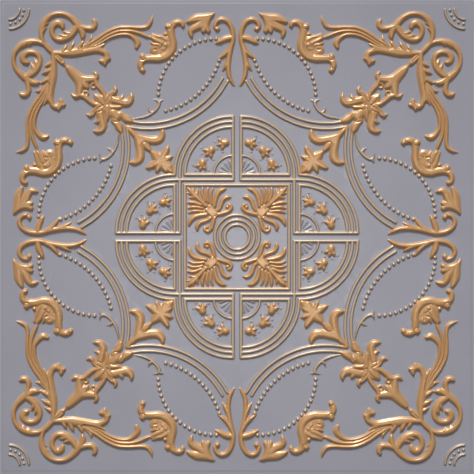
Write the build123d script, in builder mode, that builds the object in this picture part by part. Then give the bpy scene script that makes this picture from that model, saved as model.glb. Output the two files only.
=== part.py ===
"""Square ceiling tile: one thin plastic sheet, formed into a pressed-tin pattern of ribs, scrolls and leaves.

The tile lies on its back with its face up. One eighth of the ornament is drawn, beside the +Y axis,
and mirrored about the diagonal and the two axes. Lengths are millimetres.
"""
import math
import os

from build123d import *

# Sheet
TILE_SIDE = 610.0          # side of the square tile, edge to edge
SHEET = 0.8                # wall of the formed sheet, the same under ground and leaves
LIP_WIDTH = 4.0            # flat lip along each edge, which the next tile laps
LIP_DROP = 0.3             # step from the ground down to the lip
BORDER = 15.8              # plain border between the ornament and the tile's edge

# Relief
LEAF_HEIGHT = 3.6          # most that a leaf's crest stands above the ground
LEAF_RISE = 1.1            # a leaf's crest over its half width, where it is narrow
LEAF_TURN = 50.0           # degrees, most that a leaf bends from one flat to the next
BLUNT = 0.6                # half width of a leaf on the diagonal near its tips, over that at its middle
RIB_WIDTH = 4.4            # a rib at its foot
RIB_HEIGHT = 2.0           # a rib at its crest
ROOT = 0.25                # depth that a form is sunk below the ground, to join it cleanly
TOUCH = 0.0001             # corners closer than this are one

# Medallion and quatrefoil, as centre lines of their ribs from the tile's centre
RING_RADII = (16.0, 22.0, 28.5)
SQUARE = 67.0              # half side of the square frame
RIB_PITCH = 6.5            # from one rib of the frame to the next
CHANNEL = 5.0              # half width of the plain channel that parts the lobes on the axes

# Swags between the lobes and the scrolls
SWAG_CENTRE = (115.0, 256.0)
SWAG_RADII = (117.0, 109.5)
SWAG_START = 209.0         # degrees, at the stem on the axis
SWAG_ARC = 73.0            # degrees, on to the diagonal

# Wide leaves of one eighth, each along an arc: x, y and half width at its near end, middle and far end
LEAVES = {
    "corner scroll": ((243.5, 244, 3.2), (246, 280, 5.0), (206, 272, 5.4)),
    "corner spiral": ((213.6, 263.4, 5.4), (236.2, 261.3, 3.8), (230, 276, 4.6)),
    "scroll leaf": ((234, 237, 3.2), (205, 238.4, 7.6), (177, 240.6, 5.4)),
    "horn": ((189, 246.5, 5.4), (154, 263.8, 8.2), (122, 264.5, 5.0)),
    "crescent top": ((74, 276, 3.6), (85, 266, 6.2), (82.6, 250, 6.2)),
    "crescent lap": ((82.6, 250, 6.2), (89.6, 233.6, 6.6), (108, 228.8, 6.0)),
    "fishtail": ((31.5, 285.4, 3.0), (46, 282.4, 6.8), (60, 277.6, 3.0)),
    "flower lobe": ((166, 177.5, 5.6), (146.5, 173.2, 6.2), (136, 180.4, 3.6)),
    "trident arm": ((131, 130.5, 3.8), (105.5, 124, 6.4), (96, 133.6, 3.8)),
}

# Narrow leaves, drawn the same way, which stay filled at the back
SPRIGS = {
    "fork": ((203, 270, 4.0), (189.5, 267.6, 3.8), (183, 275, 3.8)),
    "scroll hook": ((175.5, 239.5, 4.2), (167.2, 232.4, 4.6), (172, 225.6, 3.8)),
    "horn tip": ((126, 268.4, 3.8), (114.6, 271.6, 4.0), (109.2, 281, 2.0)),
    "horn hook": ((142, 260.4, 3.8), (131, 254.6, 5.0), (128.4, 246.4, 4.0)),
    "crescent flower": ((92, 242.5, 6.0), (98.5, 247.5, 8.4), (106, 253, 3.0)),
    "crescent end": ((110, 229, 5.6), (122.4, 226.4, 5.8), (122.4, 214.8, 4.2)),
    "fishtail fin": ((38, 278, 5.6), (51.5, 268.6, 6.2), (59.6, 257, 2.4)),
    "maple lobe": ((97, 101, 5.6), (92.4, 108.6, 5.2), (89.2, 114.6, 2.4)),
    "volute": ((5.8, 249, 3.4), (7.6, 270.6, 4.0), (19, 280, 3.8)),
    "volute end": ((19, 280, 3.8), (27.6, 274.6, 3.4), (25.4, 267.6, 4.2)),
    "stem": ((7, 246, 3.2), (11.4, 222, 3.6), (5.4, 198, 1.8)),
    "heart arm": ((183, 205.5, 3.6), (177.8, 193, 3.8), (169.8, 181, 3.8)),
    "flower foot": ((150, 158, 5.0), (142, 153, 5.4), (137, 149.8, 3.4)),
    "palmette volute": ((21.5, 30.8, 3.2), (13, 34.8, 3.4), (9, 39.4, 3.8)),
    "palmette hook": ((22.4, 36.5, 2.8), (19.2, 44.8, 3.2), (11.8, 48.9, 1.8)),
    "palmette leaf": ((28.8, 41, 3.0), (26, 54.4, 4.0), (16.8, 61.2, 2.0)),
    "palmette blade": ((34.8, 44.5, 2.4), (36, 52.5, 3.2), (34.8, 61, 1.8)),
    "palmette spear": ((41.6, 47, 2.0), (44.4, 54.5, 2.5), (44.2, 62, 1.4)),
}

# Leaves that lie along the diagonal: near tip and far tip along x, and half width
DIAGONAL_LEAVES = {
    "vase": (186.5, 222, 9.0),
    "flower heart": (146.5, 184, 9.6),
    "trident bud": (107.5, 140.5, 5.8),
    "maple": (81.5, 110.5, 9.6),
    "palmette heart": (22.5, 46.5, 6.2),
    "palmette tip": (46, 65.5, 5.2),
}

# The ornament is drawn on a square that holds it and its border, and enlarged to the tile
REACH = max(y + half for rows in LEAVES.values() for x, y, half in rows)
DRAWN_SIDE = 2 * (REACH + BORDER)
PATTERN = TILE_SIDE / DRAWN_SIDE


def drawn(x, y, z=0.0):
    """Place a point of the drawing on the tile."""
    return Vector(x * PATTERN, y * PATTERN, z)


def rib_section():
    """Draw the roof-shaped section of a rib, standing on the sketch's x axis."""
    foot = RIB_WIDTH / 2 * (1 + ROOT / RIB_HEIGHT)
    Polygon((-foot, -ROOT), (foot, -ROOT), (0, RIB_HEIGHT), align=None)


def straight_rib(start, end):
    """Raise a straight rib between two points of the drawing."""
    start_point = drawn(*start, SHEET)
    run = drawn(*end, SHEET) - start_point
    with BuildSketch(Plane(start_point, x_dir=(-run.Y, run.X, 0), z_dir=run)) as section:
        rib_section()
    extrude(section.sketch, amount=run.length)


def arc_ribs(centre, radii, start_angle, arc):
    """Raise concentric ribs about a point of the drawing."""
    middle = drawn(*centre, SHEET)
    angle = math.radians(start_angle)
    out = Vector(math.cos(angle), math.sin(angle))
    with BuildSketch(Plane(middle, x_dir=out, z_dir=(out.Y, -out.X, 0))) as sections:
        with Locations(*[(radius * PATTERN, 0) for radius in radii]):
            rib_section()
    revolve(sections.sketch, axis=Axis(middle, (0, 0, 1)), revolution_arc=arc)


def stations(near, middle, far):
    """Divide a leaf along its arc, from tip to tip, as rows of left foot, crest and right foot."""
    ends = [drawn(x, y) for x, y, half in (near, middle, far)]
    if abs((ends[1] - ends[0]).cross(ends[2] - ends[1]).Z) > TOUCH:
        spine = ThreePointArc(*ends, mode=Mode.PRIVATE)
        turn = math.degrees(spine.length / spine.radius)
    else:
        spine = Line(ends[0], ends[2], mode=Mode.PRIVATE)
        turn = 0.0
    waist = spine.param_at_point(ends[1])
    before = math.ceil(turn * waist / LEAF_TURN) or 1
    after = math.ceil(turn * (1 - waist) / LEAF_TURN) or 1
    places = [(waist * step / before, near[2], step / before) for step in range(before)]
    places += [(1 - (1 - waist) * step / after, far[2], step / after) for step in range(after, -1, -1)]
    near_tip = ends[0] - (spine % 0) * near[2] * PATTERN
    far_tip = ends[2] + (spine % 1) * far[2] * PATTERN
    rows = [(near_tip, near_tip, near_tip)]
    for place, end_half, share in places:
        half = (end_half + (middle[2] - end_half) * math.sin(share * math.pi / 2)) * PATTERN
        point = spine @ place
        along = spine % place
        across = Vector(-along.Y, along.X) * half
        crest = point + Vector(0, 0, min(LEAF_HEIGHT, LEAF_RISE * half))
        rows.append((point + across, crest, point - across))
    return [*rows, (far_tip, far_tip, far_tip)]


def facet(*corners):
    """Make one flat face, without the corners that fall together at a tip, as a list of one or none."""
    pairs = zip(corners, corners[-1:] + corners[:-1])
    apart = [corner for corner, last in pairs if (corner - last).length > TOUCH]
    return [Face(Wire.make_polygon(apart))] if len(apart) > 2 else []


def leaf(near, middle, far):
    """Make one roof-shaped leaf with its foot sunk below the ground."""
    rows = stations(near, middle, far)
    sunk = Vector(0, 0, -ROOT)
    faces = facet(*[row[0] + sunk for row in rows], *[row[2] + sunk for row in rows[-2:0:-1]])
    for (left, crest, right), (next_left, next_crest, next_right) in zip(rows, rows[1:]):
        faces += facet(left, next_left, next_crest)
        faces += facet(left, next_crest, crest)
        faces += facet(right, crest, next_crest)
        faces += facet(right, next_crest, next_right)
        faces += facet(left, left + sunk, next_left + sunk, next_left)
        faces += facet(right, next_right, next_right + sunk, right + sunk)
    return Solid(Shell(faces))


def diagonal_leaf(near, far, half_width):
    """Make a leaf that lies along the diagonal, with its tips this far from the middle of the tile."""
    middle = (near + far) / 2
    end_half = half_width * BLUNT
    reach = (far - near) / 2 - end_half / math.sqrt(2)
    near_end = middle - reach
    far_end = middle + reach
    return leaf((near_end, near_end, end_half), (middle, middle, half_width), (far_end, far_end, end_half))


DIAGONAL = Plane((0, 0, 0), x_dir=(1, 1, 0), z_dir=(1, -1, 0))

# Every wide leaf of the tile, as the solid that pushes it up from the back
with BuildPart() as punch:
    add([leaf(*rows) for rows in LEAVES.values()])
    mirror(about=DIAGONAL)
    add([diagonal_leaf(*size) for size in DIAGONAL_LEAVES.values()])
    mirror(about=Plane.YZ)
    mirror(about=Plane.XZ)

# Every narrow leaf of the tile
with BuildPart() as sprigs:
    add([leaf(*rows) for rows in SPRIGS.values()])
    mirror(about=DIAGONAL)
    mirror(about=Plane.YZ)
    mirror(about=Plane.XZ)

# Ribs stand on the face, one eighth mirrored as the leaves are, with the rings whole
LOBE_FOOT = SQUARE + 2 * RIB_PITCH
LOBE_RADII = [SQUARE + step * RIB_PITCH - CHANNEL for step in range(3)]
with BuildPart() as ribs:
    straight_rib((-SQUARE, SQUARE), (SQUARE, SQUARE))
    straight_rib((CHANNEL, SQUARE + RIB_PITCH), (LOBE_FOOT, SQUARE + RIB_PITCH))
    straight_rib((CHANNEL, LOBE_FOOT), (SQUARE, LOBE_FOOT))
    straight_rib((CHANNEL, SQUARE), (CHANNEL, LOBE_FOOT + LOBE_RADII[-1]))
    arc_ribs((CHANNEL, LOBE_FOOT), LOBE_RADII, 0, 90)
    arc_ribs(SWAG_CENTRE, SWAG_RADII, SWAG_START, SWAG_ARC)
    mirror(about=DIAGONAL)
    mirror(about=Plane.YZ)
    mirror(about=Plane.XZ)
    arc_ribs((0, 0), RING_RADII, 0, 360)

with BuildPart() as ceiling_tile:
    with BuildSketch():
        Rectangle(TILE_SIDE, TILE_SIDE)
    extrude(amount=SHEET - LIP_DROP)
    with BuildSketch():
        Rectangle(TILE_SIDE - 2 * LIP_WIDTH, TILE_SIDE - 2 * LIP_WIDTH)
    extrude(amount=SHEET)
    add(ribs.part)
    with Locations((0, 0, SHEET)):
        add(sprigs.part)
        add(punch.part)
    add(punch.part, mode=Mode.SUBTRACT)

ceiling_tile.part.label = "ceiling_tile"
os.makedirs("parts", exist_ok=True)
export_step(ceiling_tile.part, "parts/ceiling_tile.step")
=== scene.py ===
"""Looks of a faux tin ceiling tile: one thin formed plastic sheet, painted grey, with gold on its raised ornament.

The ornament is drawn for one eighth of the tile, between the +Y axis and the diagonal, in millimetres from the
tile's centre. It is pressed into a height map of one quarter, which shapes the face and the hollow back.
"""

import logging
import math
from dataclasses import dataclass, field
from enum import Enum
from typing import Iterator

import bmesh
import bpy
import numpy as np
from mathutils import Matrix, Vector

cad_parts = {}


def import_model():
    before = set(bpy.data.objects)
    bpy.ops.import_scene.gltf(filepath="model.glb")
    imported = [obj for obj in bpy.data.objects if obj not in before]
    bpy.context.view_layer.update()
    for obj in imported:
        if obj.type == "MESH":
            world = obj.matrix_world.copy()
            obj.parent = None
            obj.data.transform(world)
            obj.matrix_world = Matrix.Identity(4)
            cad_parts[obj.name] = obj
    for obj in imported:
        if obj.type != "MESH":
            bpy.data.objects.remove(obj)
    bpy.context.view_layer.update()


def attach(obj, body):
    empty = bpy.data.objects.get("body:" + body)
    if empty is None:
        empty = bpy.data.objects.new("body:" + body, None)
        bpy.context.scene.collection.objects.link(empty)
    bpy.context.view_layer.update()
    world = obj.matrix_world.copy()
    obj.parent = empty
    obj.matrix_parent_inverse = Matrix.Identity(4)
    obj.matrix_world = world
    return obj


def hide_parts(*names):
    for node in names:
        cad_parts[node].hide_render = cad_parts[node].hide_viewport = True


LOG = logging.getLogger("ceiling_tile")
MM = 0.001
GOLD_COVER = "gold_cover"
LEAST_HALF = 0.2  # half width that a form tapers to, in millimetres

Pair = tuple[float, float]
Row = tuple[float, float, float]  # x, y and half width
Rows = tuple[Row, ...]


def linear(colour: str) -> tuple[float, float, float, float]:
    """Turn an sRGB hex colour into linear light.

    Args:
        colour: Six hex digits after a hash sign.

    Returns:
        Red, green, blue and an alpha of 1.
    """
    parts = [int(colour[i:i + 2], 16) / 255 for i in (1, 3, 5)]
    red, green, blue = (c / 12.92 if c <= 0.04045 else ((c + 0.055) / 1.055) ** 2.4 for c in parts)
    return red, green, blue, 1.0


@dataclass(frozen=True)
class Form:
    """How relief rises from its outline, in millimetres.

    Attributes:
        peak: Most that a form's crest stands above the ground.
        rise: Crest over the half width, where the form is narrow.
        crown: Power of the form's round back: 2 is round, more is a plate with round shoulders.
        groove: Floor of the groove round the form, where it lies over others.
        swell: How far the form stands out past its drawn half width.
        gilt: Depth of the gold paint on the form, from a pale wash at 0 to full gold at 1.
    """

    peak: float
    rise: float
    crown: float
    groove: float
    swell: float
    gilt: float


class Relief(Enum):
    """The kinds of relief on the tile."""

    LEAF = Form(3.2, 1.2, 2.7, 2.2, 0.6, 1.0)
    BASE = Form(2.4, 1.2, 3.4, 1.3, 0.4, 1.0)
    DOME = Form(3.55, 1.0, 2.2, 2.0, 0.2, 1.0)
    STRAND = Form(2.9, 1.2, 2.0, 1.4, 0.3, 0.8)
    RIB = Form(2.1, 1.0, 2.0, 1.4, 0.0, 0.2)
    BEAD = Form(2.4, 0.95, 2.0, 1.4, 0.3, 0.2)
    FINE = Form(1.1, 1.0, 2.0, 1.0, 0.2, 0.08)


@dataclass(frozen=True)
class Stroke:
    """One form of the ornament: a curve through rows of x, y and half width.

    Attributes:
        rows: Points that the curve runs through, with the half width of the form at each.
        relief: The kind of relief.
        over: True where the form lies over others, with a groove pressed round it.
    """

    rows: Rows
    relief: Relief = Relief.LEAF
    over: bool = False

    def samples(self, step: float) -> np.ndarray:
        """Walk along the smooth curve through the rows.

        Args:
            step: Distance between samples.

        Returns:
            Rows of x, y and half width.
        """
        points = np.asarray(self.rows, float)
        if len(points) == 1:
            return points
        points = np.vstack([2 * points[0] - points[1], points, 2 * points[-1] - points[-2]])
        spans = []
        for a, b, c, d in zip(points, points[1:], points[2:], points[3:]):
            count = max(2, math.ceil(np.hypot(*(c - b)[:2]) / step))
            t = np.linspace(0.0, 1.0, count, endpoint=False)[:, None]
            bend = (2 * a - 5 * b + 4 * c - d) * t**2 + (3 * b - a - 3 * c + d) * t**3
            spans.append(b + ((c - a) * t + bend) / 2)
        walk = np.vstack([*spans, points[-2:-1]])
        walk[:, 2] = np.maximum(walk[:, 2], LEAST_HALF)
        return walk

    def across_diagonal(self) -> "Stroke":
        """Give the same form on the other side of the diagonal."""
        return Stroke(tuple((y, x, half) for x, y, half in self.rows), self.relief, self.over)


def arc(centre: Pair, radius: float, start: float, end: float, half: float) -> Rows:
    """Lay rows along an arc.

    Args:
        centre: Middle of the arc.
        radius: Radius of the arc.
        start: Angle at the first row, in degrees.
        end: Angle at the last row, in degrees.
        half: Half width of the form.

    Returns:
        Rows at most ten degrees apart.
    """
    count = math.ceil(abs(end - start) / 10)
    angles = np.radians(np.linspace(start, end, count + 1))
    return tuple((centre[0] + radius * math.cos(a), centre[1] + radius * math.sin(a), half) for a in angles)


def along(start: np.ndarray, way: np.ndarray, reaches: tuple[Pair, ...]) -> Rows:
    """Lay rows along a straight line.

    Args:
        start: Where the line starts.
        way: Its direction, of length 1.
        reaches: Distance from the start and half width at each row.

    Returns:
        The rows.
    """
    return tuple((*(start + way * distance), half) for distance, half in reaches)


def beads(centre: Pair, radius: float, start: float, end: float, pitch: float,
          size: float, relief: Relief) -> list[Stroke]:
    """Set round beads along an arc.

    Args:
        centre: Middle of the arc.
        radius: Radius of the arc through the beads.
        start: Angle of the first bead, in degrees.
        end: Angle of the last bead, in degrees.
        pitch: Distance from bead to bead, which is fitted to the arc.
        size: Radius of one bead.
        relief: The kind of relief.

    Returns:
        One stroke for each bead.
    """
    count = round(math.radians(abs(end - start)) * radius / pitch)
    angles = np.radians(np.linspace(start, end, count + 1))
    return [Stroke(((centre[0] + radius * math.cos(a), centre[1] + radius * math.sin(a), size),), relief, True)
            for a in angles]


@dataclass
class Quatrefoil:
    """Rings, square frame and four ribbed lobes round the tile's centre, with fans and lotus flowers.

    Attributes:
        ring_radii: Centre lines of the rings.
        ring_angles: Part of the rings that is drawn, in degrees, which the mirrors complete.
        square: Half side of the square frame.
        pitch: Distance from one rib of the frame to the next.
        channel: Half width of the plain channel on the axes.
        rib_half: Half width of a rib.
        fan_radius: Rim of the quarter fan in a lobe's inner corner.
        fan_half: Half width of that rim.
        ray_angles: Places of the fan's petals, in degrees.
        ray_reaches: A petal of the fan, out from its corner.
        garland_radius: Circle that the lotus flowers stand on, about the fan's corner.
        garland_angles: Places of the lotus flowers on it, in degrees.
        petal_turns: Turns of a flower's petals from the circle's line, in degrees.
        petal_reaches: A petal of the flower, out from its seat.
        dot_turns: Turns of the dots off the petals, in degrees.
        dot_reach: A dot, out from the seat.
        dome_reaches: Dome of the flower, back from the seat.
    """

    ring_radii: tuple[float, ...] = (16.0, 22.0, 28.5)
    ring_angles: Pair = (40.0, 95.0)
    square: float = 67.0
    pitch: float = 6.6
    channel: float = 5.2
    rib_half: float = 2.4
    fan_radius: float = 24.5
    fan_half: float = 1.9
    ray_angles: tuple[float, ...] = (13.0, 34.0, 56.0, 77.0)
    ray_reaches: tuple[Pair, ...] = ((6.5, 0.5), (13.0, 1.5), (17.0, 1.9))
    garland_radius: float = 42.0
    garland_angles: tuple[float, ...] = (74.0, 46.0, 18.5)
    petal_turns: tuple[float, ...] = (-54.0, 0.0, 54.0)
    petal_reaches: tuple[Pair, ...] = ((0.0, 2.6), (5.0, 2.5), (9.6, 0.5))
    dot_turns: tuple[float, ...] = (-66.0, -25.0, 25.0, 66.0)
    dot_reach: Pair = (11.6, 1.3)
    dome_reaches: tuple[Pair, ...] = ((2.4, 5.0), (1.4, 5.0))

    def strokes(self) -> Iterator[Stroke]:
        """Draw the ribs, fans and flowers."""
        foot = self.square + 2 * self.pitch
        corner = (self.channel, foot)
        half = self.rib_half
        for radius in self.ring_radii:
            yield Stroke(arc((0.0, 0.0), radius, *self.ring_angles, half), Relief.RIB)
        yield Stroke(((0.0, self.square, half), (self.square, self.square, half)), Relief.RIB)
        middle = self.square + self.pitch
        yield Stroke(((self.channel, middle, half), (foot, middle, half)), Relief.RIB)
        yield Stroke(((self.channel, foot, half), (self.square, foot, half)), Relief.RIB)
        for step in range(3):
            yield Stroke(arc(corner, self.square + step * self.pitch - self.channel, 0, 90, half), Relief.RIB)
        top = foot + self.square + 2 * self.pitch - self.channel
        yield Stroke(((self.channel, middle, half), (self.channel, top, half)), Relief.RIB)
        yield Stroke(arc(corner, self.fan_radius, 0, 90, self.fan_half), Relief.RIB)
        yield from self.fan_rays(corner)
        for angle in self.garland_angles:
            yield from self.lotus(corner, math.radians(angle))

    def fan_rays(self, corner: Pair) -> Iterator[Stroke]:
        """Draw the petals of a quarter fan.

        Args:
            corner: Middle of the fan.
        """
        for angle in np.radians(self.ray_angles):
            out = np.array((math.cos(angle), math.sin(angle)))
            yield Stroke(along(np.array(corner), out, self.ray_reaches), Relief.FINE)

    def lotus(self, corner: Pair, angle: float) -> Iterator[Stroke]:
        """Draw one lotus flower: a dome, three petals along the circle and four dots off them.

        Args:
            corner: Middle of the circle that the flower stands on.
            angle: Place on the circle, in radians.
        """
        out = np.array((math.cos(angle), math.sin(angle)))
        ahead = np.array((out[1], -out[0]))
        seat = np.array(corner) + out * self.garland_radius
        for turn in np.radians(self.petal_turns):
            way = ahead * math.cos(turn) + out * math.sin(turn)
            yield Stroke(along(seat, way, self.petal_reaches), Relief.STRAND)
        for turn in np.radians(self.dot_turns):
            way = ahead * math.cos(turn) + out * math.sin(turn)
            yield Stroke(along(seat, way, (self.dot_reach,)), Relief.FINE)
        yield Stroke(along(seat, -ahead, self.dome_reaches), Relief.DOME, True)


@dataclass
class Palmette:
    """Leafy fan on the diagonal inside the square frame.

    Attributes:
        forms: Volute, hook, leaf and strands on the left of the diagonal.
        heart: Plate on the diagonal, from the ring to the strands: its middle and its side.
        ball: Round end of the volute.
        tip: Leaf on the diagonal at the corner of the square.
        barbs: Points of that leaf on the left of the diagonal.
    """

    forms: tuple[Rows, ...] = (
        ((27, 28.4, 2.6), (22, 29.6, 2.6), (16, 31.4, 2.8), (10.4, 33.4, 2.8), (7.2, 37.4, 2.4),
         (9, 41.4, 1.9), (12.2, 41.8, 1.2)),
        ((26, 33.4, 2.2), (22.6, 36.4, 2.5), (20.4, 42, 2.8), (18, 47.8, 3), (13.4, 51.2, 2.8), (9, 51, 1.6)),
        ((29, 39.6, 2.6), (27.8, 48, 3.2), (25.4, 55, 3.6), (21, 59.8, 3.2), (14.6, 62, 1.2)),
        ((32.6, 42.5, 1.7), (33.4, 49.5, 1.9), (33.4, 56, 2), (31.2, 62, 1.2)),
        ((37, 44.5, 1.7), (38.4, 51, 1.9), (38.6, 57, 2), (37.2, 62.6, 1.2)),
        ((41, 46, 2), (43.8, 53, 2.5), (44.6, 58, 2.4), (44.2, 63, 1.3)),
    )
    heart: tuple[Rows, ...] = (
        ((31.6, 31.6, 5.4), (34.6, 34.6, 5.4)),
        ((27, 31.4, 2.2), (35, 39.4, 2.2)),
    )
    ball: Row = (12.4, 38.4, 2.5)
    tip: Rows = (
        (40, 40, 2.4), (46, 46, 2.4), (50.5, 50.5, 3.2), (54.5, 54.5, 4.4), (58.5, 58.5, 3.2), (63.5, 63.5, 0.5),
    )
    barbs: tuple[Rows, ...] = (
        ((52, 54, 2.2), (50.8, 58, 1.4), (50.6, 61.5, 0.4)),
        ((56, 58, 2), (56.2, 61.5, 1), (56.6, 63.8, 0.4)),
    )

    def strokes(self) -> Iterator[Stroke]:
        """Draw the fan and the tip, and the plate and the ball over them."""
        for rows in self.forms:
            yield Stroke(rows, Relief.STRAND)
        for rows in self.barbs:
            yield Stroke(rows, Relief.LEAF)
        yield Stroke(self.tip)
        middle, side = self.heart
        yield Stroke(middle, Relief.BASE, True)
        yield Stroke(side, Relief.BASE)
        yield Stroke((self.ball,), Relief.DOME, True)


@dataclass
class Swag:
    """Double ribs from the stem on the axis to the diagonal, and the beaded oval over them.

    Attributes:
        centre: Middle of the swag's arcs.
        radii: The two ribs.
        rib_angles: Their start and end, in degrees.
        rib_half: Half width of a rib.
        upper_centre: Middle of the oval's upper arc.
        lower_radius: Oval's lower arc, about the swag's centre.
        lower_angles: Its start and end, in degrees.
        upper_radius: Oval's upper arc.
        upper_angles: Its start and end, in degrees.
        bead: Radius of a bead.
        bead_pitch: Distance from bead to bead.
        sprigs: Thorny sprig at the oval's inner end.
    """

    centre: Pair = (115.0, 256.0)
    radii: tuple[float, ...] = (117.0, 109.5)
    rib_angles: Pair = (208.5, 283.0)
    rib_half: float = 2.3
    upper_centre: Pair = (27.0, 180.5)
    lower_radius: float = 96.8
    lower_angles: Pair = (197.5, 256.0)
    upper_radius: float = 74.3
    upper_angles: Pair = (90.5, 2.0)
    bead: float = 2.5
    bead_pitch: float = 7.1
    sprigs: tuple[Rows, ...] = (
        ((134, 151.5, 0.8), (122, 153.6, 1.8), (112.5, 157.2, 2.2), (104.5, 163.5, 2.4), (100, 171, 2.2),
         (102, 175.2, 1.7), (108.6, 177, 0.5)),
        ((108.5, 160, 2.2), (112.4, 162.6, 1.8), (114.2, 168, 0.5)),
        ((100.5, 172.5, 2), (97.4, 175.4, 1.6), (94, 175.6, 0.5)),
    )

    def strokes(self) -> Iterator[Stroke]:
        """Draw the ribs, beads and sprig."""
        for radius in self.radii:
            yield Stroke(arc(self.centre, radius, *self.rib_angles, self.rib_half), Relief.RIB)
        for centre, radius, angles in ((self.centre, self.lower_radius, self.lower_angles),
                                       (self.upper_centre, self.upper_radius, self.upper_angles)):
            yield from beads(centre, radius, *angles, self.bead_pitch, self.bead, Relief.BEAD)
        for rows in self.sprigs:
            yield Stroke(rows, Relief.RIB)


@dataclass
class DiagonalStem:
    """Husk, vase, flower, trident and maple flower, one after the other down the diagonal.

    Attributes:
        forms: Side forms on the left of the diagonal.
        spine: Forms on the diagonal.
        ring: Middle of the small ring beside the vase's foot.
        ring_radius: Its centre line.
        ring_half: Half width of its wire.
        domes: Round forms that lie over the rest.
    """

    forms: tuple[Rows, ...] = (
        ((183.4, 212, 1), (180.6, 208.6, 2.4), (181.4, 204.6, 3.2), (186, 203, 4), (193, 202.4, 5),
         (200, 203, 5.4)),
        ((182.5, 202.5, 2.6), (180.5, 196.5, 2.9), (175.5, 190.5, 2.8), (171.5, 185, 2.6), (169.5, 179.5, 3.2)),
        ((168, 176, 5.2), (161, 176.4, 5), (153, 174.6, 5), (145, 172.4, 5.4), (138.8, 173.8, 4.8),
         (135.6, 179, 3), (136, 184.4, 0.8)),
        ((150, 177, 3), (147.8, 179.8, 1.8), (147.2, 183, 0.5)),
        ((166, 179, 3.4), (162, 183.5, 2.8), (157.5, 186, 2.8), (156, 189.6, 2), (157.6, 193, 0.8)),
        ((150, 157.5, 4.6), (146, 154.8, 3.8), (142, 151.8, 5.2), (136.5, 149.4, 2.8)),
        ((141.5, 141, 0.8), (136, 135.5, 2), (130.5, 130.5, 3.4), (121, 127, 4.4), (110, 124.4, 5.3),
         (101.4, 125.2, 5.6), (96.6, 129.8, 4.2), (95.4, 136.5, 1.4)),
        ((98, 101, 5.4), (93, 107.6, 4.6), (90, 112.4, 3), (88.8, 116, 1.2)),
        ((97, 98, 5), (89.5, 101, 3.9), (83.6, 103.4, 1.2)),
        ((95, 96, 5), (89, 93.5, 4.2), (84.2, 91, 1.4)),
    )
    spine: tuple[Rows, ...] = (
        ((236, 236, 1.8), (231, 231, 3.2), (226, 226, 3.4), (222, 222, 1.4)),
        ((217.5, 217.5, 3), (213, 213, 5.4), (206, 206, 6.8), (200, 200, 8), (195.5, 195.5, 5),
         (191.5, 191.5, 1.2)),
        ((183, 183, 1), (178, 178, 5.4), (172, 172, 8.8), (165, 165, 7.6), (158, 158, 6)),
        ((136, 136, 1.2), (127, 127, 4.6), (118.5, 118.5, 4.8), (112, 112, 2.2), (108, 108, 1.6)),
        ((108.5, 108.5, 2.6), (102, 102, 7.2), (94.5, 94.5, 8.8), (87.5, 87.5, 5), (82.8, 82.8, 1)),
    )
    ring: Pair = (184.6, 194.4)
    ring_radius: float = 3.0
    ring_half: float = 1.4
    domes: tuple[Rows, ...] = (
        ((220.6, 220.6, 2),),
        ((225.4, 226.8, 1.4), (228.6, 231, 1.3), (232.4, 234.4, 0.6)),
        ((167, 166.8, 2.4), (160, 167, 3.2), (152.6, 166.8, 2.8), (146.6, 168.6, 0.8)),
        ((157.2, 157.2, 7.2), (154.8, 154.8, 7)),
        ((165.4, 173, 2.4), (163, 178, 2.2), (160.4, 183, 1.2)),
        ((172, 172, 2.6), (177, 177, 3), (182, 182, 0.8)),
        ((119, 119, 2.8), (114.5, 114.5, 2.8), (110.5, 110.5, 0.8)),
    )

    def strokes(self) -> Iterator[Stroke]:
        """Draw the side forms, the spine and then the domes over them."""
        for rows in (*self.forms, *self.spine):
            yield Stroke(rows)
        yield Stroke(arc(self.ring, self.ring_radius, 0, 360, self.ring_half), Relief.STRAND)
        for rows in self.domes:
            yield Stroke(rows, Relief.DOME, True)


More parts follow.
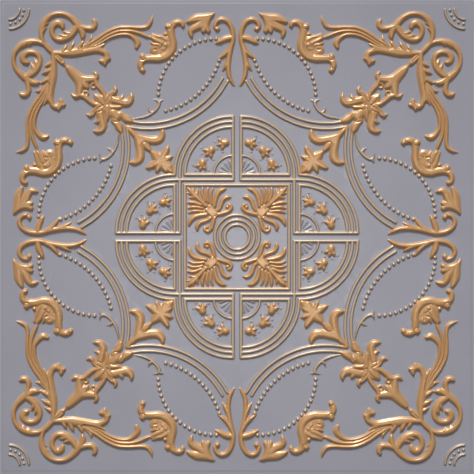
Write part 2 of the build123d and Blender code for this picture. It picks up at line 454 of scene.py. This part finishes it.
@dataclass
class CornerScroll:
    """Scroll, spiral and forks in the corner, with the toothed leaf and horn that grow from its foot.

    Attributes:
        forms: Plump forms, fused where they meet.
        teeth: Pointed teeth along their edges.
        strands: The horn's three flutes.
        arc_centre: Middle of the small beaded arcs at the tile's corner.
        arc_radii: The two arcs.
        arc_angles: Their start and end, in degrees.
        arc_half: Half width of an arc.
        arc_bead_radius: Circle of beads between them.
        arc_bead_angles: First and last bead, in degrees.
        arc_bead_pitch: Distance from bead to bead.
        arc_bead: Radius of a bead.
    """

    forms: tuple[Rows, ...] = (
        ((238, 237.5, 2.2), (244, 243.2, 2.4), (248.6, 249.5, 2.3), (251.4, 258, 2.8), (250.8, 268, 4),
         (246.5, 278, 4), (239, 284.6, 3), (230, 287.4, 2.5), (221, 286.2, 2.7), (213.5, 282, 3.3),
         (207, 275.5, 4.2), (202, 270, 3.6)),
        ((205, 272, 3.6), (210.5, 263.5, 4.4), (217.5, 257.2, 4.6), (226, 253.6, 3.6), (233.5, 255.4, 3.1),
         (237.6, 262, 3.1), (237, 270, 3.5), (231.5, 275.2, 4.2), (226, 273.6, 4), (224.2, 269.6, 2.4)),
        ((205, 271, 3.6), (194.5, 268.6, 3), (188, 268, 3.4), (183.4, 271, 3.6), (182.6, 276, 3),
         (184.8, 279.2, 1.2)),
        ((203, 270, 4), (199.4, 264.5, 4), (198.2, 259.5, 3.4), (198.6, 254.6, 1.2)),
        ((237.5, 237.5, 1.8), (226, 236, 3.4), (212, 236.8, 5.6), (200, 239, 6.2), (190, 241.4, 6.6),
         (181, 242, 5.8), (174, 239, 3.6), (169, 236.4, 3.4), (167.2, 231.8, 3.8), (169, 227.4, 4),
         (173, 225.4, 2.8)),
        ((168, 231, 2.8), (164.6, 229.4, 2.2)),
        ((169.5, 226.5, 2.8), (170, 222.6, 2.2)),
        ((172, 226, 2.8), (175.6, 226.4, 2)),
    )
    teeth: tuple[Rows, ...] = (
        ((247, 277.5, 2.4), (243.6, 279.2, 1.2), (241.2, 279.6, 0.4)),
        ((248.5, 272, 2.4), (245, 274.4, 1.3), (242.4, 275, 0.4)),
        ((249.6, 265, 2.2), (246.8, 268, 1.2), (244.8, 269, 0.4)),
        ((214, 261, 3), (219.5, 262.6, 1.8), (223.4, 264.6, 0.4)),
        ((220, 257.4, 3), (225, 258.6, 1.8), (228.6, 260, 0.4)),
        ((224, 238, 2.4), (221.4, 242.6, 2), (219.4, 247, 0.4)),
        ((215, 240, 3), (212.2, 245.6, 2.2), (209.8, 250.8, 0.4)),
        ((203, 243, 3.2), (199.8, 248, 2.2), (197.6, 252.8, 0.4)),
        ((195, 244, 3.4), (191.4, 248.6, 2.2), (190.4, 252.4, 0.4)),
        ((190, 246, 3.2), (187.8, 252.4, 2.2), (187, 258.6, 0.4)),
        ((182, 242.5, 3.2), (175.5, 245.2, 1.8), (169.6, 248.6, 0.4)),
    )
    strands: tuple[Rows, ...] = (
        ((197, 242, 0.4), (188, 245, 1.6), (176, 249.6, 2.3), (165, 255.6, 2.3), (152.5, 259.9, 2.3),
         (140.5, 260.2, 2.4), (132.6, 256, 3.4), (127.8, 249.6, 4.4), (129.2, 243.6, 2.4)),
        ((198, 243, 0.4), (190, 246, 1.6), (178, 252, 2.3), (166, 259.2, 2.3), (153, 264.2, 2.3),
         (139, 265, 2.3), (127, 262.6, 2.4), (117, 258.4, 2.2), (111, 255.8, 0.8)),
        ((199, 244, 0.4), (192, 247, 1.6), (180, 254.4, 2.3), (168, 262.6, 2.4), (154, 268.6, 2.4),
         (139, 269.8, 2.4), (125, 268.9, 2.5), (115.5, 270.6, 3), (110.8, 276.4, 2.3), (108.6, 284, 0.5)),
    )
    arc_centre: Pair = (293.5, 293.5)
    arc_radii: tuple[float, ...] = (26.0, 14.0)
    arc_angles: Pair = (183.0, 267.0)
    arc_half: float = 1.9
    arc_bead_radius: float = 19.6
    arc_bead_angles: Pair = (186.0, 264.0)
    arc_bead_pitch: float = 6.7
    arc_bead: float = 1.7

    def strokes(self) -> Iterator[Stroke]:
        """Draw the teeth, the plump forms over their roots, the horn and the small arcs."""
        for rows in (*self.teeth, *self.forms):
            yield Stroke(rows)
        for rows in self.strands:
            yield Stroke(rows, Relief.STRAND, True)
        for radius in self.arc_radii:
            yield Stroke(arc(self.arc_centre, radius, *self.arc_angles, self.arc_half), Relief.RIB)
        yield from beads(self.arc_centre, self.arc_bead_radius, *self.arc_bead_angles, self.arc_bead_pitch,
                         self.arc_bead, Relief.BEAD)


@dataclass
class SideScroll:
    """Volute and stem on the axis, with the fish-tail leaf and the crescent leaf beside them.

    Attributes:
        forms: Plump forms, fused where they meet.
        base: Plate of the flower in the crescent's lap.
        petals: Leaves on that plate.
        rosette: Middle of the star of lines cut into it.
        rosette_turns: Directions of those lines, in degrees.
        rosette_reaches: One line, out from the middle.
        domes: Round forms that lie over the rest.
    """

    forms: tuple[Rows, ...] = (
        ((6.6, 246, 2.2), (5.2, 254, 2.8), (5.4, 262, 2.8), (7.6, 270.5, 2.9), (12.6, 277.4, 2.9),
         (19.6, 280, 2.8), (26, 277, 2.5), (28.4, 271, 2.3), (26, 267, 2.4)),
        ((5.4, 256, 2.8), (10, 256, 3.6), (16, 254.4, 3.8), (21.5, 251.6, 2.8), (27.4, 248.8, 0.6)),
        ((6.2, 249, 2.6), (8.6, 240, 3), (10.4, 230, 3), (11.4, 217, 2.8), (10, 207, 2.4), (7, 200, 1.7),
         (3.8, 194.6, 0.6)),
        ((8, 246, 2.4), (11, 240.5, 2.4), (14.8, 235.8, 2.5), (19.6, 231.8, 1.6), (24.4, 229, 0.4)),
        ((10.6, 231, 2.3), (12.6, 225, 2.3), (15.2, 219.6, 2), (18.6, 213.6, 0.4)),
        ((29, 287.4, 0.6), (34, 284.6, 3), (42, 281.8, 5.4), (51, 281, 5.6), (58, 279, 4), (63.4, 276.4, 1.8)),
        ((41, 278, 5.6), (48.5, 272, 5.4), (55.6, 268.4, 4.6), (59.6, 264, 3.6), (58.2, 256.6, 1.2)),
        ((40, 277, 4.8), (42, 269, 4.4), (43.4, 264.6, 2.6)),
        ((33, 285.6, 2), (38.4, 278, 4.2), (39.4, 271, 3.8), (37, 265, 3)),
        ((69.6, 271.4, 2.4), (70.8, 274.8, 3), (75.4, 276.2, 3.4), (81, 274.2, 4), (85.2, 267.6, 4.8),
         (84.6, 258, 5), (82.4, 249, 5), (84.2, 240, 5.2), (91, 232.8, 5.4), (101, 229.4, 5),
         (112, 229.4, 4.4), (120.4, 228, 4.2), (124.2, 221.6, 3.8), (122.4, 215, 3.2)),
    )
    base: tuple[Rows, ...] = (
        ((88, 252, 5), (96, 245.5, 8.6), (104.4, 240.6, 8)),
        ((92, 254, 5), (101, 253, 5.4), (109, 257.6, 2.4)),
    )
    petals: tuple[Rows, ...] = (
        ((90.6, 253, 2), (96, 256.4, 2.2), (102.6, 258, 1.8), (109, 261, 0.8)),
        ((92.6, 247.6, 2.4), (98.6, 250.2, 3), (105.6, 253.6, 2.4), (112, 257.4, 0.8)),
        ((101, 246.4, 2), (106, 247.6, 1.8), (110.4, 249.6, 0.8)),
    )
    rosette: Pair = (100.4, 240.0)
    rosette_turns: range = range(10, 370, 60)
    rosette_reaches: tuple[Pair, ...] = ((1.4, 0.1), (6.4, 0.1))
    domes: tuple[Rows, ...] = (
        ((25, 267.2, 3.4),),
        ((91.4, 246.4, 3.2),),
        ((89, 270.6, 4.2),),
        ((92.4, 260.4, 3),),
        ((121.4, 231.8, 4.4),),
        ((121, 214, 3.6),),
    )

    def strokes(self) -> Iterator[Stroke]:
        """Draw the plump forms and the flower's plate, the petals and lines over them, and then the domes."""
        for rows in self.forms:
            yield Stroke(rows)
        for rows in self.base:
            yield Stroke(rows, Relief.BASE)
        for rows in self.petals:
            yield Stroke(rows, Relief.LEAF, True)
        for turn in self.rosette_turns:
            way = np.array((math.cos(math.radians(turn)), math.sin(math.radians(turn))))
            yield Stroke(along(np.array(self.rosette), way, self.rosette_reaches), Relief.BASE, True)
        for rows in self.domes:
            yield Stroke(rows, Relief.DOME, True)


@dataclass
class ReliefMap:
    """Height of the ornament above the ground, and its cover of gold, over one quarter of the tile.

    Lengths and heights are millimetres.

    Attributes:
        span: Side of the quarter.
        cell: Distance between points of the map.
        groove_half: Half width of the groove round a form that lies over others.
        groove_top: Height above all relief, which the groove's sides run up to.
        margin: How far past a form's outline its cover of gold reaches, so that height alone ends the gold.
        far: Distance outside a form past which nothing is measured.
        axis: Places of the map's points, across and up.
        height: Height at each point.
        cover: Cover of gold at each point.
    """

    span: float
    cell: float = 0.5
    groove_half: float = 1.3
    groove_top: float = 4.0
    margin: float = 1.5
    far: float = 9.0
    axis: np.ndarray = field(init=False)
    height: np.ndarray = field(init=False)
    cover: np.ndarray = field(init=False)

    def __post_init__(self) -> None:
        """Start with plain ground."""
        count = round(self.span / self.cell) + 1
        self.axis = np.linspace(0.0, self.span, count)
        self.height = np.zeros((count, count))
        self.cover = np.zeros((count, count))

    def press(self, stroke: Stroke) -> None:
        """Press a form and its twin across the diagonal into the map.

        Args:
            stroke: The form.
        """
        for form in (stroke, stroke.across_diagonal()):
            walk = form.samples(self.cell)
            walk[:, 2] += form.relief.value.swell
            reach = walk[:, 2].max() + self.margin + self.cell
            low = np.maximum((walk[:, :2].min(0) - reach) // self.cell, 0).astype(int)
            high = np.maximum((walk[:, :2].max(0) + reach) // self.cell + 2, 0).astype(int)
            columns, rows = slice(low[0], high[0]), slice(low[1], high[1])
            if self.height[rows, columns].size == 0:
                continue
            inside, half = self.depth(walk, columns, rows)
            self.height[rows, columns] = self.raised(self.height[rows, columns], form, inside, half)
            gold = np.where(inside > -self.margin, form.relief.value.gilt, 0.0)
            self.cover[rows, columns] = np.maximum(self.cover[rows, columns], gold)

    def depth(self, walk: np.ndarray, columns: slice, rows: slice) -> tuple[np.ndarray, np.ndarray]:
        """Measure how far points lie inside a form's outline, and how wide the form is there.

        Args:
            walk: Samples of the form's curve.
            columns: Columns of the map to measure.
            rows: Rows of the map to measure.

        Returns:
            Distance in from the outline, negative outside it, and the half width.
        """
        across, up = self.axis[columns][None, :], self.axis[rows][:, None]
        inside = np.full((up.size, across.size), -self.far)
        half = np.ones_like(inside)
        for x, y, width in walk:
            reach = width - np.hypot(across - x, up - y)
            half = np.where(reach > inside, width, half)
            np.maximum(inside, reach, out=inside)
        return inside, half

    def raised(self, before: np.ndarray, stroke: Stroke, inside: np.ndarray, half: np.ndarray) -> np.ndarray:
        """Raise one form with a round back from the map.

        Args:
            before: Heights so far.
            stroke: The form.
            inside: Distance in from the form's outline.
            half: Half width of the form there.

        Returns:
            Heights with the form.
        """
        form = stroke.relief.value
        share = np.clip(inside / half, 0.0, 1.0)
        rise = np.minimum(form.peak, form.rise * half) * (1.0 - (1.0 - share) ** form.crown)
        if stroke.over:
            side = np.clip(np.abs(inside) / self.groove_half, 0.0, 1.0) ** 2
            before = np.minimum(before, form.groove + (self.groove_top - form.groove) * side)
        return np.maximum(before, rise)

    def soften(self, passes: int) -> None:
        """Round the map's creases, as a sheet drawn over a mould is rounded.

        Args:
            passes: Times that each point takes the mean of itself and its neighbours.
        """
        # Each turn rounds along one axis and swaps the axes, so a pass is two turns
        for _ in range(2 * passes):
            padded = np.pad(self.height, ((1, 1), (0, 0)), mode="reflect")
            self.height = ((padded[:-2] + 2 * padded[1:-1] + padded[2:]) / 4).T

    def at(self, layer: np.ndarray, x: np.ndarray, y: np.ndarray) -> np.ndarray:
        """Read one layer between the map's points.

        Args:
            layer: The heights or the cover.
            x: Distances across from the tile's centre.
            y: Distances up from the tile's centre.

        Returns:
            The layer's value at each point.
        """
        last = len(self.axis) - 2
        u, v = x / self.cell, y / self.cell
        i, j = np.clip(u.astype(int), 0, last), np.clip(v.astype(int), 0, last)
        u, v = u - i, v - j
        near = layer[j, i] * (1 - u) + layer[j, i + 1] * u
        far = layer[j + 1, i] * (1 - u) + layer[j + 1, i + 1] * u
        return near * (1 - v) + far * v


@dataclass(frozen=True)
class PaintFinish:
    """Colours and wear of the painted face, and of the bare plastic behind it.

    Attributes:
        grey: Satin grey ground.
        grey_light: The same ground where the spray lies thicker.
        gold: Full gold paint, on leaves and scrolls.
        gold_light: The same gold where it is rubbed bright.
        cream_highlight: Thin pale gold on the crests of ribs and beads, its paleness a painted highlight.
        brown_wash_and_shade: Gold wash low on their flanks, darker there partly because the wash settles and partly
            as painted shade.
        bare: Bare plastic of the back.
        rise: Heights above the ground over which the gold comes in, in millimetres, as all sizes are.
        crest: Heights over which a rib or bead goes from its dark flank to its pale crest, that is from painted
            shade to painted highlight.
        washed: Covers over which the thin wash comes in.
        full: Covers over which the wash turns to full gold.
        edge_size: Size of the ragged waves at the gold's edge.
        edge_waver: How far that edge goes up and down.
        cloud_size: Size of the clouds in the grey.
        roll_size: Size of the roller's patches in the gold.
        rolled: Depths of those patches over which the gold is rubbed bright.
        rubbed: Most of the bright gold in a patch.
        metal: Share of metal in the gold paint.
        satin: Roughness of the grey and of the gold.
        patchy: Spread of that roughness over the patches.
        peel_size: Grain of the sprayed paint.
        peel_depth: Depth of that grain.
        peel_strength: How strongly it turns the light.
        coat: Weight of the thin gloss on the paint.
        coat_roughness: Roughness of that gloss.
        bloom_size: Size of the dull bloom on the bare plastic.
        bare_satin: Least and most roughness of the bare plastic.
    """

    grey: str = "#8B8A93"
    grey_light: str = "#94939C"
    gold: str = "#B88B5C"
    gold_light: str = "#C8A275"
    cream_highlight: str = "#C2A884"
    brown_wash_and_shade: str = "#83664A"
    bare: str = "#A9A8A8"
    rise: Pair = (0.2, 0.7)
    crest: Pair = (0.8, 1.9)
    washed: Pair = (0.02, 0.25)
    full: Pair = (0.25, 0.8)
    edge_size: float = 3.0
    edge_waver: float = 0.4
    cloud_size: float = 90.0
    roll_size: float = 14.0
    rolled: Pair = (0.45, 0.8)
    rubbed: float = 0.35
    metal: float = 0.25
    satin: Pair = (0.52, 0.38)
    patchy: float = 0.12
    peel_size: float = 1.6
    peel_depth: float = 0.05
    peel_strength: float = 0.25
    coat: float = 0.18
    coat_roughness: float = 0.2
    bloom_size: float = 40.0
    bare_satin: Pair = (0.5, 0.64)


def add_node(tree: bpy.types.NodeTree, kind: str, settings: dict | None = None, sockets: dict | None = None,
             links: dict | None = None) -> bpy.types.Node:
    """Add a node with its settings, constant inputs and links.

    Args:
        tree: The material's node tree.
        kind: Blender's name of the node's type.
        settings: Properties of the node.
        sockets: Constant values by input name or number.
        links: Output sockets to link, by input name or number.

    Returns:
        The node.
    """
    node = tree.nodes.new(kind)
    for name, value in (settings or {}).items():
        setattr(node, name, value)
    for name, value in (sockets or {}).items():
        node.inputs[name].default_value = value
    for name, output in (links or {}).items():
        tree.links.new(output, node.inputs[name])
    return node


def per_metre(size: float) -> float:
    """Give the texture scale at which a pattern's features are this many millimetres."""
    return 1.0 / (size * MM)


@dataclass
class TilePaint:
    """Materials of the tile.

    Attributes:
        finish: Colours and heights of the paint.
        ground: Height of the plain ground above the back, in millimetres.
    """

    finish: PaintFinish
    ground: float

    def face(self) -> bpy.types.Material:
        """Make the painted face.

        Satin vinyl paint gives an even, slightly clouded grey with a soft sheen. The metallic gold paint is rolled
        over the relief: it is full on leaves and scrolls, and on ribs and beads a thin wash, painted pale on their
        crests as a highlight and darker low on their flanks, partly where the wash settles and partly as painted
        shade.

        Returns:
            The material.
        """
        material = bpy.data.materials.new("gold_rolled_satin_painted_pvc")
        material.use_nodes = True
        tree = material.node_tree
        shader = tree.nodes["Principled BSDF"]
        finish = self.finish
        place = add_node(tree, "ShaderNodeTexCoord").outputs["Object"]
        height = add_node(tree, "ShaderNodeSeparateXYZ", links={"Vector": place}).outputs["Z"]

        ragged, cloud, rolled, peel = (
            add_node(tree, "ShaderNodeTexNoise", sockets={"Scale": per_metre(size), "Detail": detail},
                     links={"Vector": place}).outputs["Fac"]
            for size, detail in ((finish.edge_size, 3.0), (finish.cloud_size, 2.0), (finish.roll_size, 4.0),
                                 (finish.peel_size, 2.0)))

        # Gold lies where the relief is high enough and carries a cover of it
        waver = add_node(tree, "ShaderNodeMath", {"operation": "MULTIPLY_ADD"},
                         {1: finish.edge_waver * MM, 2: -finish.edge_waver / 2 * MM}, {0: ragged}).outputs["Value"]
        uneven = add_node(tree, "ShaderNodeMath", {"operation": "ADD"}, links={0: height, 1: waver}).outputs["Value"]
        # raised ends the gold by height; crest takes the wash from painted shade low on a flank to a painted
        # highlight on top
        raised, crest = (
            add_node(tree, "ShaderNodeMapRange", {"interpolation_type": "SMOOTHSTEP"},
                     {"From Min": (self.ground + low) * MM, "From Max": (self.ground + high) * MM},
                     {"Value": uneven}).outputs["Result"]
            for low, high in (finish.rise, finish.crest))
        cover = add_node(tree, "ShaderNodeAttribute", {"attribute_name": GOLD_COVER}).outputs["Fac"]
        washed, full = (
            add_node(tree, "ShaderNodeMapRange", sockets={"From Min": low, "From Max": high},
                     links={"Value": cover}).outputs["Result"]
            for low, high in (finish.washed, finish.full))
        gilt = add_node(tree, "ShaderNodeMath", {"operation": "MULTIPLY"},
                        links={0: raised, 1: washed}).outputs["Value"]

        # Grey ground, wash on ribs and beads with painted shade low on their flanks and a painted highlight on their
        # crests, and gold rubbed bright in patches
        low, high = finish.rolled
        rubbed = add_node(tree, "ShaderNodeMapRange",
                          sockets={"From Min": low, "From Max": high, "To Max": finish.rubbed},
                          links={"Value": rolled}).outputs["Result"]
        grey, gold = (
            add_node(tree, "ShaderNodeMix", {"data_type": "RGBA"}, {6: linear(low), 7: linear(high)},
                     {0: share}).outputs[2]
            for low, high, share in ((finish.grey, finish.grey_light, cloud), (finish.brown_wash_and_shade, finish.cream_highlight, crest)))
        for paint, share in ((finish.gold, full), (finish.gold_light, rubbed)):
            gold = add_node(tree, "ShaderNodeMix", {"data_type": "RGBA"}, {7: linear(paint)},
                            {0: share, 6: gold}).outputs[2]
        colour = add_node(tree, "ShaderNodeMix", {"data_type": "RGBA"},
                          links={0: gilt, 6: grey, 7: gold}).outputs[2]
        tree.links.new(colour, shader.inputs["Base Color"])

        # Gold is smoother than the grey, and both vary with the roller's patches
        metal = add_node(tree, "ShaderNodeMath", {"operation": "MULTIPLY"}, {1: finish.metal},
                         {0: gilt}).outputs["Value"]
        tree.links.new(metal, shader.inputs["Metallic"])
        low, high = finish.satin
        sheen = add_node(tree, "ShaderNodeMapRange", sockets={"To Min": low, "To Max": high},
                         links={"Value": gilt}).outputs["Result"]
        patchy = add_node(tree, "ShaderNodeMath", {"operation": "MULTIPLY_ADD"},
                          {1: finish.patchy, 2: -finish.patchy / 2}, {0: rolled}).outputs["Value"]
        rough = add_node(tree, "ShaderNodeMath", {"operation": "ADD"}, links={0: sheen, 1: patchy}).outputs["Value"]
        tree.links.new(rough, shader.inputs["Roughness"])

        # Sprayed paint dries to a fine orange peel, drawn coarser than it is so that it shows
        bump = add_node(tree, "ShaderNodeBump",
                        sockets={"Strength": finish.peel_strength, "Distance": finish.peel_depth * MM},
                        links={"Height": peel}).outputs["Normal"]
        tree.links.new(bump, shader.inputs["Normal"])
        shader.inputs["Coat Weight"].default_value = finish.coat
        shader.inputs["Coat Roughness"].default_value = finish.coat_roughness
        return material

    def back(self) -> bpy.types.Material:
        """Make the back.

        Rigid vinyl off the mould is an even light grey with a dull bloom and no paint.

        Returns:
            The material.
        """
        material = bpy.data.materials.new("bare_thermoformed_pvc")
        material.use_nodes = True
        tree = material.node_tree
        shader = tree.nodes["Principled BSDF"]
        place = add_node(tree, "ShaderNodeTexCoord").outputs["Object"]
        bloom = add_node(tree, "ShaderNodeTexNoise",
                         sockets={"Scale": per_metre(self.finish.bloom_size), "Detail": 3.0},
                         links={"Vector": place}).outputs["Fac"]
        colour = add_node(tree, "ShaderNodeMix", {"data_type": "RGBA"},
                          {6: linear(self.finish.bare), 7: linear(self.finish.grey_light)}, {0: bloom}).outputs[2]
        tree.links.new(colour, shader.inputs["Base Color"])
        low, high = self.finish.bare_satin
        rough = add_node(tree, "ShaderNodeMapRange", sockets={"To Min": low, "To Max": high},
                         links={"Value": bloom}).outputs["Result"]
        tree.links.new(rough, shader.inputs["Roughness"])
        return material


def put(name: str, data: bpy.types.ID) -> bpy.types.Object:
    """Put an object with this data into the scene."""
    thing = bpy.data.objects.new(name, data)
    bpy.context.scene.collection.objects.link(thing)
    return thing


def places(mesh: bpy.types.Mesh) -> np.ndarray:
    """Read the places of a mesh's points, one row for each."""
    points = np.empty(len(mesh.vertices) * 3)
    mesh.vertices.foreach_get("co", points)
    return points.reshape(-1, 3)


@dataclass
class FormedSheet:
    """The tile: a face with the ornament, a hollow back that follows it, and the edge between them.

    Attributes:
        side: Side of the tile, in millimetres.
        wall: Wall of the sheet.
        lip_width: Flat lip along each edge.
        lip_drop: Step from the ground down to the lip.
        lip_slope: Width of that step.
        back_margin: Width of the plain border of the back.
        filled: Relief that is too shallow to show at the back.
        face_share: Share of the face's triangles that is kept.
        back_share: Share of the back's triangles that is kept.
        seam: Distance within which a point is drawn onto a mirror line or the quarter's edge.
        weld: Distance within which mirrored points are merged.
        level: Upright part of a face's normal past which the face is level.
        crease: Angle past which an edge is shaded sharp, in degrees.
        relief: Map of the ornament.
    """

    side: float = 610.0
    wall: float = 0.8
    lip_width: float = 4.0
    lip_drop: float = 0.3
    lip_slope: float = 0.5
    back_margin: float = 9.0
    filled: float = 0.7
    face_share: float = 0.056
    back_share: float = 0.034
    seam: float = 0.02
    weld: float = 0.005
    level: float = 0.99999
    crease: float = 75.0
    relief: ReliefMap = field(init=False)

    def __post_init__(self) -> None:
        """Start with a plain relief."""
        self.relief = ReliefMap(self.side / 2)

    def press_ornament(self) -> None:
        """Press every form of the ornament into the relief."""
        for motif in (Quatrefoil(), Palmette(), Swag(), DiagonalStem(), CornerScroll(), SideScroll()):
            count = 0
            for stroke in motif.strokes():
                self.relief.press(stroke)
                count += 1
            LOG.info("%s: %d forms", type(motif).__name__, count)
        self.relief.soften(1)

    def face_height(self, x: np.ndarray, y: np.ndarray) -> np.ndarray:
        """Give the face's height above the back, in millimetres, with the lip along the edges."""
        inset = self.side / 2 - np.maximum(x, y)
        down = np.clip((self.lip_width - inset) / self.lip_slope + 0.5, 0.0, 1.0)
        ground = self.wall - self.lip_drop * down
        return ground + self.relief.at(self.relief.height, x, y)

    def back_height(self, x: np.ndarray, y: np.ndarray) -> np.ndarray:
        """Give the hollow back's height, in millimetres."""
        return np.maximum(self.relief.at(self.relief.height, x, y) - self.filled, 0.0)

    def quarter(self, span: float, cell: float, heights, share: float) -> bpy.types.Mesh:
        """Form one quarter of a surface and thin its flat parts.

        Args:
            span: Side of the quarter, from the tile's centre.
            cell: Distance between points before thinning.
            heights: Function from x and y to height, in millimetres.
            share: Share of the triangles that is kept.

        Returns:
            The quarter as a mesh, in metres.
        """
        form = bmesh.new()
        count = round(span / cell)
        bmesh.ops.create_grid(form, x_segments=count, y_segments=count, size=span / 2 * MM)
        bmesh.ops.translate(form, verts=form.verts, vec=(span / 2 * MM, span / 2 * MM, 0.0))
        grid = bpy.data.meshes.new("quarter")
        form.to_mesh(grid)
        form.free()
        points = places(grid)
        points[:, 2] = heights(points[:, 0] / MM, points[:, 1] / MM) * MM
        grid.vertices.foreach_set("co", points.ravel())

        holder = put("quarter", grid)
        thin = holder.modifiers.new("thin", "DECIMATE")
        thin.ratio = share
        graph = bpy.context.evaluated_depsgraph_get()
        thinned = bpy.data.meshes.new_from_object(holder.evaluated_get(graph))
        bpy.data.objects.remove(holder)
        bpy.data.meshes.remove(grid)

        points = np.maximum(places(thinned), 0.0)
        for line in (0.0, span * MM):
            points[np.abs(points - line) < self.seam * MM] = line
        points[:, 2] = heights(points[:, 0] / MM, points[:, 1] / MM) * MM
        thinned.vertices.foreach_set("co", points.ravel())
        return thinned

    def build(self) -> bpy.types.Object:
        """Join face, edge and back to one closed sheet.

        Returns:
            The tile as one object at the origin.
        """
        half = self.side / 2
        back_span = half - self.back_margin
        face = self.quarter(half, self.relief.cell, self.face_height, self.face_share)
        back = self.quarter(back_span, 2 * self.relief.cell, self.back_height, self.back_share)
        back.polygons.foreach_set("material_index", np.ones(len(back.polygons), np.int32))

        sheet = bmesh.new()
        for surface in (face, back):
            sheet.from_mesh(surface)
            bpy.data.meshes.remove(surface)
        for axis in "XY":
            bmesh.ops.mirror(sheet, geom=[*sheet.verts, *sheet.edges, *sheet.faces], axis=axis,
                             merge_dist=self.weld * MM)
        rims = [edge for edge in sheet.edges if edge.is_boundary]
        between = (half + back_span) / 2 * MM
        rim = [edge for edge in rims if max(abs(c) for v in edge.verts for c in v.co[:2]) > between]
        inner = [edge for edge in rims if edge not in set(rim)]
        wall = bmesh.ops.extrude_edge_only(sheet, edges=rim)["geom"]
        foot = [part for part in wall if isinstance(part, bmesh.types.BMVert)]
        for vert in foot:
            vert.co.z = 0.0
        ring = [part for part in wall if isinstance(part, bmesh.types.BMEdge) and part.is_boundary]
        border = bmesh.ops.triangle_fill(sheet, edges=[*ring, *inner], use_beauty=True, normal=(0.0, 0.0, -1.0))
        for part in border["geom"]:
            if isinstance(part, bmesh.types.BMFace):
                part.material_index = 1
        bmesh.ops.recalc_face_normals(sheet, faces=sheet.faces)
        for part in sheet.faces:
            part.smooth = True
        for edge in sheet.edges:
            level = [abs(part.normal.z) > self.level for part in edge.link_faces]
            gentle = edge.calc_face_angle(0.0) < math.radians(self.crease)
            edge.smooth = all(level) or not any(level) and gentle
        mesh = bpy.data.meshes.new("ceiling_tile_sheet")
        sheet.to_mesh(mesh)
        sheet.free()
        across, up = np.abs(places(mesh)[:, :2].T) / MM
        cover = mesh.attributes.new(GOLD_COVER, "FLOAT", "POINT")
        cover.data.foreach_set("value", self.relief.at(self.relief.cover, across, up))
        tile = put("ceiling_tile_sheet", mesh)
        even = tile.modifiers.new("even_shading", "WEIGHTED_NORMAL")
        even.keep_sharp = True
        return tile

    def dress(self, tile: bpy.types.Object, finish: PaintFinish) -> None:
        """Paint the face and leave the back bare.

        Args:
            tile: The tile's object.
            finish: Colours and heights of the paint.
        """
        paint = TilePaint(finish, self.wall)
        tile.data.materials.append(paint.face())
        tile.data.materials.append(paint.back())
        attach(tile, "root")
        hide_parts("ceiling_tile")


@dataclass
class Studio:
    """Floor, light and camera.

    Attributes:
        floor_side: Side of the floor, in metres.
        floor_colour: Colour of the floor.
        floor_drop: How far the floor lies below the tile, in millimetres, so that they don't touch.
        floor_roughness: Roughness of the floor's paint.
        key_place: Where the key lamp shines from, beyond the tile's upper edge.
        key_strength: Light of the key lamp, in watts per square metre.
        key_angle: Width of the key lamp as the tile sees it, in degrees.
        top_height: Height of the soft lamp over the tile's centre, in metres.
        top_power: Power of that lamp, in watts.
        top_angle: Width of its cone, in degrees.
        top_size: Its radius, in metres.
        sky: Strength of the even light from all round.
        lens: Focal length, in millimetres.
    """

    floor_side: float = 8.0
    floor_colour: str = "#E9E8E6"
    floor_drop: float = 0.3
    floor_roughness: float = 0.8
    key_place: tuple[float, float, float] = (-0.3, 2.0, 1.25)
    key_strength: float = 3.95
    key_angle: float = 14.0
    top_height: float = 3.0
    top_power: float = 74.0
    top_angle: float = 16.0
    top_size: float = 0.3
    sky: float = 0.25
    lens: float = 110.0

    def lay_floor(self) -> None:
        """Lay a plain pale floor under the tile."""
        form = bmesh.new()
        bmesh.ops.create_grid(form, x_segments=1, y_segments=1, size=self.floor_side / 2)
        bmesh.ops.translate(form, verts=form.verts, vec=(0.0, 0.0, -self.floor_drop * MM))
        mesh = bpy.data.meshes.new("floor")
        form.to_mesh(mesh)
        form.free()
        floor = put("floor", mesh)
        material = bpy.data.materials.new("matt_floor_paint")
        material.use_nodes = True
        shader = material.node_tree.nodes["Principled BSDF"]
        shader.inputs["Base Color"].default_value = linear(self.floor_colour)
        shader.inputs["Roughness"].default_value = self.floor_roughness
        mesh.materials.append(material)

    def hang_light(self) -> None:
        """Hang a soft key lamp and a soft lamp over the middle, and light the room evenly."""
        lamp = bpy.data.lights.new("key", "SUN")
        lamp.energy = self.key_strength
        lamp.angle = math.radians(self.key_angle)
        key = put("key", lamp)
        key.location = self.key_place
        key.rotation_euler = (-Vector(self.key_place)).to_track_quat("-Z", "Y").to_euler()
        lamp = bpy.data.lights.new("top", "SPOT")
        lamp.energy = self.top_power
        lamp.spot_size = math.radians(self.top_angle)
        lamp.spot_blend = 1.0
        lamp.shadow_soft_size = self.top_size
        put("top", lamp).location = (0.0, 0.0, self.top_height)
        world = bpy.data.worlds.new("room")
        world.use_nodes = True
        world.node_tree.nodes["Background"].inputs["Color"].default_value = linear("#FFFFFF")
        world.node_tree.nodes["Background"].inputs["Strength"].default_value = self.sky
        bpy.context.scene.world = world

    def set_camera(self, width: float) -> None:
        """Look straight down on the tile, which fills the square frame.

        Args:
            width: Side of the tile, in metres.
        """
        camera = bpy.data.cameras.new("camera")
        camera.lens = self.lens
        seat = put("camera", camera)
        seat.location = (0.0, 0.0, width * camera.lens / camera.sensor_width)
        bpy.context.scene.camera = seat


def main() -> None:
    """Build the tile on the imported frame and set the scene."""
    logging.basicConfig(level=logging.INFO, format="%(name)s: %(message)s")
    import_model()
    bpy.context.scene.view_settings.view_transform = "Standard"
    sheet = FormedSheet()
    sheet.press_ornament()
    tile = sheet.build()
    sheet.dress(tile, PaintFinish())
    LOG.info("%s: %d faces", tile.name, len(tile.data.polygons))
    studio = Studio()
    studio.lay_floor()
    studio.hang_light()
    studio.set_camera(sheet.side * MM)
    LOG.info("studio set")


if __name__ == "__main__":
    main()
